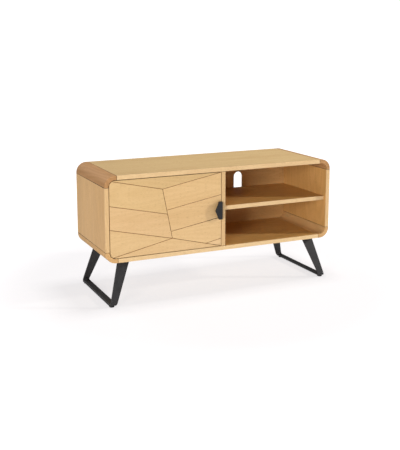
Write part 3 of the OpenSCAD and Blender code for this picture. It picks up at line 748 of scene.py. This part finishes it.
# %% Turned and pressed shapes
def loft(shell, rings, sides=48, closed=False):
    """Adds a shape made of level rings to the shell. A ring is (height, radius) in millimetres,
    where the radius may be a rule of the angle, and a radius of 0 is a point on the axis."""
    loops = []
    for height, radius in rings:
        if radius == 0:
            loops.append([shell.verts.new((0, 0, height * MM))])
            continue
        loop = []
        for i in range(sides):
            angle = 2 * math.pi * i / sides
            reach = (radius(angle) if callable(radius) else radius) * MM
            loop.append(shell.verts.new((reach * math.cos(angle), reach * math.sin(angle),
                                         height * MM)))
        loops.append(loop)
    pairs = list(zip(loops, loops[1:] + loops[:1] if closed else loops[1:]))
    for low, high in pairs:
        for i in range(sides):
            j = (i + 1) % sides
            if len(low) == 1:
                shell.faces.new((low[0], high[j], high[i]))
            elif len(high) == 1:
                shell.faces.new((low[i], low[j], high[0]))
            else:
                shell.faces.new((low[i], low[j], high[j], high[i]))
    bmesh.ops.recalc_face_normals(shell, faces=shell.faces)
    return shell


def hexagon(across):
    """The rule of a hexagon's radius, from its distance across the flats, in millimetres."""
    return lambda angle: across / 2 / math.cos((angle + math.pi / 6) % (math.pi / 3) - math.pi / 6)


templates = []


def template(name, rings, sides=48, closed=False):
    """A lofted shape as an object for a recipe to repeat. It is removed when the recipes are done."""
    piece = put(name, loft(bmesh.new(), rings, sides, closed))
    templates.append(piece)
    return piece


# %% The two leg frames
case_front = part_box("top_lipping")[0].y
case_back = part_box("top_left_post")[1].y
LEG_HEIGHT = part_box("bottom_panel")[0].z
runner_low, runner_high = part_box("left_runner")
BAR = runner_high.z - runner_low.z
BEND = 5 * MM
UPRIGHT_BACK, FOOT_REACH = 40 * MM, 5.5 * MM
TOP_WIDTH, FOOT_WIDTH = 54 * MM, 27 * MM
TOP_IN, FOOT_IN = 67 * MM, 14 * MM
BAR_EDGE = 0.9 * MM
# The drill for a stud, as rings in millimetres, and how far under the runner it starts.
DRILL, DRILL_START = [(0, 0), (0, 3.3), (12, 3.3), (12, 0)], 2 * MM
lean = math.atan((UPRIGHT_BACK + FOOT_REACH) / LEG_HEIGHT)
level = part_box("left_front_leg")[1].z
bar_recipe = bent_bar_recipe()


def bar_middle(height):
    """How far behind the case's front the middle of an upright is, at a height."""
    return -FOOT_REACH + height * math.tan(lean) + BAR / 2 / math.cos(lean)


def leg_frame(name, side):
    """One bent bar. side is -1 at the left and 1 at the right."""
    run_out = level + BAR
    low = runner_low.z + BAR / 2
    path = [(0, case_front + bar_middle(run_out), run_out), (0, case_front + bar_middle(low), low),
            (0, case_back - bar_middle(low), low), (0, case_back - bar_middle(run_out), run_out)]
    word = "left" if side < 0 else "right"
    drill = bmesh.new()
    for end in ("front", "back"):
        stud_low, stud_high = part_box(f"{end}_{word}_stud")
        middle = (stud_low + stud_high) / 2
        hole = loft(bmesh.new(), DRILL, 32)
        for vert in hole.verts:
            vert.co += Vector((middle.x, middle.y, runner_low.z - DRILL_START))
        cut = bpy.data.meshes.new("hole")
        hole.to_mesh(cut)
        drill.from_mesh(cut)
    cutter = put("stud_holes", drill)
    edge = side * cad_box[1].x
    piece = run_recipe(
        name, base_mesh(path, [(0, 1), (1, 2), (2, 3)]), bar_recipe,
        Thickness=BAR, Height=LEG_HEIGHT, Level=level, Lean=math.tan(lean), Holes=cutter,
        Finish=powder_coat, **{
            "Edge Radius": BAR_EDGE, "Bend Radius": BEND + BAR / 2, "Foot Width": FOOT_WIDTH,
            "Top Width": TOP_WIDTH, "Foot Middle": edge - side * (FOOT_IN + FOOT_WIDTH / 2),
            "Top Middle": edge - side * (TOP_IN + TOP_WIDTH / 2),
            "Depth Middle": (case_front + case_back) / 2,
        })
    bpy.data.objects.remove(cutter)
    return settle(piece, "cabinet", "black_steel", f"{word}_front_leg", f"{word}_back_leg",
                  f"{word}_runner")


frames = [leg_frame("Left_Leg_Frame", -1), leg_frame("Right_Leg_Frame", 1)]
for made, word in zip(frames, ("left", "right")):
    corners = [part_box(f"{word}_{part}") for part in ("front_leg", "back_leg", "runner")]
    low = [min(c[0][a] for c in corners) / MM for a in range(3)]
    high = [max(c[1][a] for c in corners) / MM for a in range(3)]
    points = [v.co / MM for v in made.data.vertices]
    print(made.name, len(made.data.polygons), "faces; off the packed box by", [
        round(f(p[a] for p in points) - c[a], 2) for f, c in ((min, low), (max, high))
        for a in range(3)], "mm")

# %% [markdown]
# ## Weld beads
#
# The bars are welded to their plates from behind. A hand-laid bead is a row of overlapping puddles,
# each a flat drop of metal a few millimetres wide. The recipe walks along a line and sets one drop
# every 1.7 mm, turned to the line.

# %% The welds under the plates
# A bead starts and ends a little short of the bar's edges, and lies a little under the plate.
WELD_INSET, WELD_SHORT, WELD_UNDER = 1.5 * MM, 3.5 * MM, 0.3 * MM
DROP_EVERY, DROP_RADIUS = 1.7 * MM, 1.9 * MM


def weld_recipe():
    """Overlapping drops of weld along the base's edges."""
    tree, given = new_recipe("weld_bead", Spacing="float", Width="float", Finish="material")
    line = add(tree, "GeometryNodeMeshToCurve", {"Mesh": given["Geometry"]}).outputs["Curve"]
    steps = add(tree, "GeometryNodeCurveToPoints", {"Curve": line, "Length": given["Spacing"]},
                mode="LENGTH").outputs
    drop = add(tree, "GeometryNodeMeshIcoSphere", {"Radius": 1.0, "Subdivisions": 2})
    size = add(tree, "ShaderNodeCombineXYZ", {
        "X": given["Width"], "Y": given["Width"], "Z": given["Spacing"],
    }).outputs["Vector"]
    drops = add(tree, "GeometryNodeInstanceOnPoints", {
        "Points": steps["Points"], "Instance": drop.outputs["Mesh"],
        "Rotation": steps["Rotation"], "Scale": size,
    }).outputs["Instances"]
    end_recipe(tree, drops, given["Finish"])
    return tree


def weld_lines():
    """The lines where the bars' inner faces meet the plates."""
    points, edges = [], []
    in_from_front = bar_middle(level) + BAR / 2 / math.cos(lean)
    for side in (-1, 1):
        outer_end = side * (cad_box[1].x - TOP_IN - WELD_INSET)
        inner_end = outer_end - side * (TOP_WIDTH - WELD_SHORT)
        for y in (case_front + in_from_front, case_back - in_from_front):
            edges.append((len(points), len(points) + 1))
            points += [(x, y, level - WELD_UNDER) for x in (outer_end, inner_end)]
    return base_mesh(points, edges)


welds = run_recipe("Plate_Welds", weld_lines(), weld_recipe(), Spacing=DROP_EVERY,
                   Width=DROP_RADIUS, Finish=powder_coat)
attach(welds, "cabinet")
print("weld faces", len(welds.data.polygons))

# %% [markdown]
# ## Screws, dowels and other small hardware
#
# Every fastener of a kind is the same, so one is made and the recipe sets it in each place. The
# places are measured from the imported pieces: each loose part of a piece is one fastener, and its
# box gives the point where its head lies and the way that it points. A thread is a spiral with a
# small section swept along it, joined to the turned body.

# %% The recipe for hardware
def hardware_recipe(name, threaded):
    """Sets the template on each point of the base, turned to the point's axis."""
    sizes = {"Thread Radius": "float", "Thread Depth": "float", "Thread Length": "float",
             "Turns": "float", "Thread Start": "float"} if threaded else {}
    tree, given = new_recipe(name, Template="object", Finish="material", **sizes)
    body = add(tree, "GeometryNodeObjectInfo", {"Object": given["Template"]}).outputs["Geometry"]
    if threaded:
        helix = add(tree, "GeometryNodeCurveSpiral", {
            "Resolution": 14, "Rotations": given["Turns"], "Start Radius": given["Thread Radius"],
            "End Radius": given["Thread Radius"], "Height": given["Thread Length"],
        }).outputs["Curve"]
        ridge = add(tree, "GeometryNodeCurvePrimitiveCircle", {
            "Resolution": 4, "Radius": given["Thread Depth"],
        }, mode="RADIUS").outputs["Curve"]
        coil = add(tree, "GeometryNodeCurveToMesh", {
            "Curve": helix, "Profile Curve": ridge, "Fill Caps": True,
        }).outputs["Mesh"]
        lift = add(tree, "ShaderNodeCombineXYZ", {"Z": given["Thread Start"]}).outputs["Vector"]
        raised = add(tree, "GeometryNodeTransform", {"Geometry": coil, "Translation": lift},
                     ).outputs["Geometry"]
        joined = add(tree, "GeometryNodeJoinGeometry", {"Geometry": body})
        tree.links.new(raised, joined.inputs["Geometry"])
        body = joined.outputs["Geometry"]
    axis = add(tree, "GeometryNodeInputNamedAttribute", {"Name": "axis"},
               data_type="FLOAT_VECTOR").outputs["Attribute"]
    turn = add(tree, "FunctionNodeAlignRotationToVector", {"Vector": axis},
               axis="Z").outputs["Rotation"]
    placed = add(tree, "GeometryNodeInstanceOnPoints", {
        "Points": given["Geometry"], "Instance": body, "Rotation": turn,
    }).outputs["Instances"]
    end_recipe(tree, placed, given["Finish"])
    return tree


plain_hardware = hardware_recipe("plain_hardware", False)
threaded_hardware = hardware_recipe("threaded_hardware", True)


def loose_parts(node):
    """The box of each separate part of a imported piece."""
    shell = merged(node)
    left = set(shell.verts)
    boxes = []
    while left:
        part, front = set(), [left.pop()]
        while front:
            vert = front.pop()
            part.add(vert)
            for edge in vert.link_edges:
                other = edge.other_vert(vert)
                if other in left:
                    left.discard(other)
                    front.append(other)
        points = [v.co for v in part]
        boxes.append((Vector([min(p[a] for p in points) for a in range(3)]),
                      Vector([max(p[a] for p in points) for a in range(3)])))
    shell.free()
    return sorted(boxes, key=lambda b: tuple(b[0]))


WAYS = {"x+": (1, 0, 0), "x-": (-1, 0, 0), "y+": (0, 1, 0), "y-": (0, -1, 0), "z+": (0, 0, 1),
        "z-": (0, 0, -1)}


def thread(radius, length, turns, start, depth=0.28):
    """A thread's sizes for the recipe, from millimetres; start is its lowest point."""
    return {"Thread Radius": radius * MM, "Thread Length": length * MM, "Turns": turns,
            "Thread Start": start * MM, "Thread Depth": depth * MM}


def hardware(name, body, slot, finish, shape, head="long", sizes=None):
    """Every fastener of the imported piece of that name. head is the side its head is on, or "long"
    for a pin, and sizes are those of its thread."""
    node = name.lower()
    points, axes = [], []
    for low, high in loose_parts(node):
        way = WAYS.get(head)
        if way is None:
            size = high - low
            way = tuple(float(size[a] == max(size)) for a in range(3))
        top = (low + high) / 2
        for a in range(3):
            if way[a]:
                top[a] = high[a] if way[a] > 0 else low[a]
        points.append(top)
        axes.append(way)
    recipe = threaded_hardware if sizes else plain_hardware
    piece = run_recipe(name, base_mesh(points, (), axes), recipe, Template=shape, Finish=finish,
                       **(sizes or {}))
    print(name, len(points), "places,", len(piece.data.polygons), "faces")
    return settle(piece, body, slot, node)


# %% Shapes of the hardware, in millimetres, with the head's top at 0
def cross(arm, width):
    """The rule of a cross recess: two crossed slots with the given arm and width."""
    def radius(angle):
        reach = 0.0
        for turn in (0.0, math.pi / 2):
            c, s = abs(math.cos(angle + turn)), abs(math.sin(angle + turn))
            reach = max(reach, min(arm / max(c, 1e-6), width / 2 / max(s, 1e-6)))
        return reach
    return radius


def fluted(radius, flutes, depth):
    """The rule of a fluted dowel's radius."""
    return lambda angle: radius - depth * (0.5 - 0.5 * math.cos(flutes * angle)) ** 4


socket_screw = template("socket_screw", [
    (-17, 0), (-17, 2.0), (-16.4, 2.5), (-3, 2.5), (-3, 5.1), (-2.7, 5.4), (-2.0, 5.35),
    (-1.1, 4.9), (-0.4, 4.1), (0, 3.2), (0, hexagon(4)), (-1.9, hexagon(4)), (-2.2, 0)])
handle_screw = template("handle_screw", [
    (-30.2, 0), (-30.2, 1.4), (-29.8, 1.7), (-2.2, 1.7), (-2.2, 3.8), (-1.9, 4), (-1.2, 3.9),
    (-0.5, 3.3), (-0.1, 2.4), (0, 2.2), (0, cross(1.7, 0.8)), (-1.2, cross(0.9, 0.6)), (-1.4, 0)])
catch_screw = template("catch_screw", [
    (-26.2, 0), (-25.9, 0.3), (-22.5, 1.3), (-2.2, 1.35), (-2.2, 3.3), (-1.9, 3.5), (-1.1, 3.4),
    (-0.4, 2.8), (-0.05, 2.1), (0, 1.9), (0, cross(1.5, 0.7)), (-1.1, cross(0.8, 0.5)), (-1.3, 0)])
back_screw = template("back_screw", [
    (-30, 0), (-29.7, 0.3), (-26, 1.3), (-2.6, 1.35), (-2.4, 1.75), (-0.2, 3.45), (0, 3.3),
    (0, cross(1.9, 0.8)), (-1.6, cross(0.9, 0.6)), (-1.8, 0)])
strike_screw = template("strike_screw_shape", [
    (-13.5, 0), (-13.2, 0.3), (-10, 1.3), (-1.6, 1.35), (-1.4, 1.75), (-0.2, 2.95), (0, 2.8),
    (0, cross(1.5, 0.7)), (-1.0, cross(0.8, 0.5)), (-1.2, 0)])
dowel = template("dowel", [
    (-32, 0), (-32, 3), (-31, fluted(3.9, 16, 0.35)), (-30.6, fluted(4, 16, 0.4)),
    (-1.4, fluted(4, 16, 0.4)), (-1, fluted(3.9, 16, 0.35)), (0, 3), (0, 0)], 96)
shelf_pin = template("shelf_pin", [
    (-16, 0), (-16, 1.9), (-15.4, 2.5), (-8.4, 2.5), (-8.2, 2.2), (-7.8, 2.2), (-7.6, 2.5),
    (-0.6, 2.5), (-0.2, 2.3), (0, 1.8), (0, 0)], 32)
insert = template("insert", [
    (-13, 3.05), (-13, 3.9), (-12.6, 4.1), (-0.6, 4.1), (-0.4, 4.5), (0, 4.4), (0, 3.05)],
    closed=True)
nut = template("weld_nut", [
    (-5, 3.05), (-5, 4.7), (-4.6, hexagon(9.9)), (-0.7, hexagon(9.9)), (-0.3, lambda a: min(
        hexagon(9.9)(a), 5.3)), (0, 4.7), (0, 3.5), (-0.4, 3.05)], closed=True)
bush = template("pivot_bush", [
    (-10, 3.25), (-10, 4.7), (-9.7, 5), (-0.3, 5), (0, 4.7), (0, 3.3), (-0.25, 3.05),
    (-9.75, 3.05)], closed=True)
pin = template("pivot_pin", [
    (-36, 0), (-36, 2.5), (-35.5, 3), (-0.5, 3), (0, 2.5), (0, 0)])
stud = template("stud", [
    (-22.5, 0), (-22.5, 2.2), (-22, 2.6), (-0.6, 2.6), (0, 2.1), (0, hexagon(3)),
    (-2.2, hexagon(3)), (-2.5, 0)])
print("hardware shapes", len(templates))

# %% Set the hardware in its places
fittings = [
    hardware("Leg_Screws", "cabinet", "zinc_steel", zinc, socket_screw, "z-",
             thread(2.7, 12, 12.0, -16)),
    hardware("Leg_Inserts", "cabinet", "zinc_steel", zinc, insert, "z-",
             thread(4.2, 11, 4.5, -12.2)),
    hardware("Handle_Screws", "door", "zinc_steel", zinc, handle_screw, "y+",
             thread(1.75, 10, 14.0, -29, 0.2)),
    hardware("Catch_Screws", "cabinet", "zinc_steel", zinc, catch_screw, "x-",
             thread(1.45, 16, 11.0, -23)),
    hardware("Back_Panel_Screws", "cabinet", "zinc_steel", zinc, back_screw, "y+",
             thread(1.45, 18, 12.0, -27)),
    hardware("Strike_Screw", "door", "zinc_steel", zinc, strike_screw, "y+",
             thread(1.45, 7, 5.0, -10.5)),
    hardware("Corner_Dowels", "cabinet", "beech", beech, dowel),
    hardware("Divider_Dowels", "cabinet", "beech", beech, dowel),
    hardware("Shelf_Pins", "cabinet", "zinc_steel", zinc, shelf_pin),
    hardware("Foot_Nuts", "cabinet", "black_steel", powder_coat, nut, "z+"),
]
for end, way in (("Upper", "z-"), ("Lower", "z+")):
    fittings += [
        hardware(f"{end}_Pivot_Bush", "cabinet", "grey_nylon", grey_nylon, bush, way),
        hardware(f"{end}_Pivot_Pin", "door", "zinc_steel", black_zinc, pin, way),
    ]

# %% [markdown]
# ## Levelling feet
#
# Each foot is a moulded pad on a threaded stud that screws up into the runner. The pad's rim is
# knurled, so that fingers can turn it, and its sole is flat.

# %% The feet
def knurled(radius):
    """The rule of a knurled rim: 36 shallow flutes."""
    return lambda angle: radius - 0.3 * (0.5 - 0.5 * math.cos(36 * angle)) ** 2


pad = template("pad", [
    (-5.5, 0), (-5.5, 10.1), (-5.2, 10.6), (-4.6, knurled(11)), (-1.2, knurled(11)),
    (-0.5, 10.5), (0, 9.6), (0, 3.05), (-3, 3.05), (-3, 0)], 144)
for corner in ("front_left", "back_left", "front_right", "back_right"):
    foot, title = f"{corner}_foot", corner.title()
    fittings += [
        hardware(f"{title}_Pad", foot, "black_plastic", black_plastic, pad, "z+"),
        hardware(f"{title}_Stud", foot, "black_steel", black_zinc, stud, "z+",
                 thread(2.75, 20, 20.0, -21.6, 0.25)),
    ]
for shape in templates:
    bpy.data.objects.remove(shape)
print("fittings", len(fittings))

# %% [markdown]
# ## Studio
#
# A pale floor and a white surround light the cabinet faintly from everywhere. A small bright lamp
# at the right, a little in front, gives the bays their slanting shadows. A broad one at the left
# front lifts the door, one high up lays the shadow under the case, and a broad one behind keeps the
# rear edges from going dark. The floor glows a little, as a light table does, so that the shadow on
# it stays pale.

# %% Floor
# How strongly the floor glows onto the cabinet, and how bright it looks near the case and far away.
FLOOR_GLOW, FLOOR_SEEN, FLOOR_FAR = 0.28, 0.73, 1.1
FLOOR_RADIUS, FADE_START, FADE_END = 30.0, 0.75, 1.5


def studio_floor():
    """A wide pale disc on which the cabinet stands."""
    disc = bmesh.new()
    bmesh.ops.create_circle(disc, cap_ends=True, radius=FLOOR_RADIUS, segments=96)
    floor = put("Studio_Floor", disc)
    material, tree, shader, place = new_finish(
        "pale_floor", Roughness=0.9, Specular_IOR_Level=0.1, Emission_Color=linear("#fdfbfd"))
    pale = blend(tree, noise(tree, place, 3.0, 4.0), linear("#bdbbbc"), linear("#c1bfc0"))
    away = add(tree, "ShaderNodeVectorMath", {0: place}, operation="LENGTH").outputs["Value"]
    fade = spread(tree, away, FADE_START, FADE_END, interpolation_type="SMOOTHSTEP")
    seen = add(tree, "ShaderNodeLightPath").outputs["Is Camera Ray"]
    near = add(tree, "ShaderNodeMix", {0: fade, 2: FLOOR_SEEN, 3: FLOOR_FAR}).outputs[0]
    glow = add(tree, "ShaderNodeMix", {0: seen, 2: FLOOR_GLOW, 3: near}).outputs[0]
    tree.links.new(blend(tree, seen, pale, linear("#898888")), shader.inputs["Base Color"])
    tree.links.new(glow, shader.inputs["Emission Strength"])
    floor.data.materials.append(material)
    return floor


floor = studio_floor()
print("floor", round(floor.dimensions.x, 1), "m across")

# %% Lights
SURROUND, SURROUND_SEEN = 0.12, 1.2
LAMP_AIM = Vector((0, 0, 0.35))
world = bpy.data.worlds.new("white_surround")
bpy.context.scene.world = world
world.use_nodes = True
background = world.node_tree.nodes["Background"]
background.inputs["Color"].default_value = (1.0, 1.0, 1.0, 1.0)
ray = add(world.node_tree, "ShaderNodeLightPath").outputs["Is Camera Ray"]
seen = spread(world.node_tree, ray, 0.0, 1.0, SURROUND, SURROUND_SEEN)
world.node_tree.links.new(seen, background.inputs["Strength"])


def lamp(name, azimuth, elevation, distance, size, power, colour):
    """A square softbox that points at the middle of the case."""
    light = bpy.data.lights.new(name, "AREA")
    light.shape = "SQUARE"
    light.size = size
    light.energy = power
    light.color = linear(colour)[:3]
    a, e = math.radians(azimuth), math.radians(elevation)
    away = Vector((math.sin(a) * math.cos(e), -math.cos(a) * math.cos(e), math.sin(e)))
    holder = bpy.data.objects.new(name, light)
    holder.location = LAMP_AIM + away * distance
    holder.rotation_euler = (-away).to_track_quat("-Z", "Y").to_euler()
    bpy.context.scene.collection.objects.link(holder)
    return holder


lamp("Key_Softbox", 67, 16, 5.0, 0.25, 165, "#fffaf2")
lamp("Left_Front_Softbox", -45, 10, 4.5, 1.4, 126, "#fffaf2")
lamp("Overhead_Softbox", 90, 83, 3.2, 0.8, 74, "#ffffff")
lamp("Rear_Softbox", 205, 28, 4.5, 2.0, 45, "#ffffff")
print("lamps", len(bpy.data.lights))

# %% [markdown]
# ## Camera
#
# A long lens from the left front, a little above the case, and level enough that the uprights stay
# upright in the picture. A small shift then moves the frame to where the cabinet sits in it.

# %% Camera
CAMERA_AZIMUTH, CAMERA_ELEVATION = math.radians(-25.01), math.radians(9.91)
CAMERA_DISTANCE, CAMERA_ASIDE, CAMERA_LIFT = 3.722, -0.0252, 0.236
FOCAL_LENGTH, FRAME_SHIFT = 64.9, -0.12
lens = bpy.data.cameras.new("Camera")
lens.lens = FOCAL_LENGTH
lens.shift_y = FRAME_SHIFT
camera = bpy.data.objects.new("Camera", lens)
bpy.context.scene.collection.objects.link(camera)
back_way = Vector((math.sin(CAMERA_AZIMUTH) * math.cos(CAMERA_ELEVATION),
                   -math.cos(CAMERA_AZIMUTH) * math.cos(CAMERA_ELEVATION),
                   math.sin(CAMERA_ELEVATION)))
target = Vector((CAMERA_ASIDE * math.cos(CAMERA_AZIMUTH), CAMERA_ASIDE * math.sin(CAMERA_AZIMUTH),
                 cad_box[1].z / 2 + CAMERA_LIFT))
camera.location = target + back_way * CAMERA_DISTANCE
camera.rotation_euler = (-back_way).to_track_quat("-Z", "Y").to_euler()
bpy.context.scene.camera = camera
bpy.context.scene.view_settings.view_transform = "Standard"
print("camera", [round(c, 3) for c in camera.location])
